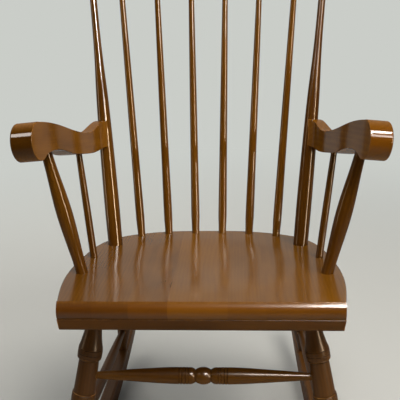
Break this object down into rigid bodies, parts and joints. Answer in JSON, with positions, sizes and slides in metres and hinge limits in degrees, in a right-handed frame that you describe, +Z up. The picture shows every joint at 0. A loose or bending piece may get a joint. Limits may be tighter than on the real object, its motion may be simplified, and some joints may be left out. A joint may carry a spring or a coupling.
{
  "type": "spindle-back rocking chair",
  "caption": "Wooden rocking chair with turned posts and slim fanned spindles under a bent crest rail, scroll arms, a dished board seat, ring-turned legs and curved rockers.",
  "frame": {"origin": "on the floor, at the middle of the chair's bounding box: midway across and midway along the rockers", "axes": "+X to the sitter's left hand as the front is faced from outside (the viewer's right), +Y to the back of the chair, +Z up"},
  "size_m": [0.6152, 0.7798, 1.0024],
  "materials": {
    "seat_wood": "satin lacquer over a brown stain",
    "turned_wood": "satin lacquer over a brown stain",
    "crest_wood": "satin lacquer over a brown stain",
    "arm_wood": "satin lacquer over a brown stain",
    "leg_wood": "satin lacquer over a brown stain",
    "rocker_wood": "satin lacquer over a brown stain",
    "pin_wood": "satin lacquer over a brown stain",
    "screw_steel": "bright zinc-plated steel"
  },
  "bodies": {
    "root": {"seat_stave_1": "seat_wood", "seat_stave_2": "seat_wood", "seat_stave_3": "seat_wood", "seat_stave_4": "seat_wood", "seat_stave_5": "seat_wood", "seat_stave_6": "seat_wood", "seat_stave_7": "seat_wood", "seat_front_roll": "seat_wood", "back_post_right": "turned_wood", "back_post_left": "turned_wood", "spindle_1": "turned_wood", "spindle_2": "turned_wood", "spindle_3": "turned_wood", "spindle_4": "turned_wood", "spindle_5": "turned_wood", "spindle_6": "turned_wood", "crest_rail": "crest_wood", "arm_right": "arm_wood", "arm_post_right": "turned_wood", "arm_spindle_right": "turned_wood", "front_leg_right": "leg_wood", "rear_leg_right": "leg_wood", "side_stretcher_right": "leg_wood", "rocker_right": "rocker_wood", "arm_left": "arm_wood", "arm_post_left": "turned_wood", "arm_spindle_left": "turned_wood", "front_leg_left": "leg_wood", "rear_leg_left": "leg_wood", "side_stretcher_left": "leg_wood", "rocker_left": "rocker_wood", "front_stretcher": "leg_wood", "rear_stretcher": "leg_wood", "rocker_pins": "pin_wood", "arm_plugs": "pin_wood", "arm_screws": "screw_steel"}
  },
  "joints": []
}
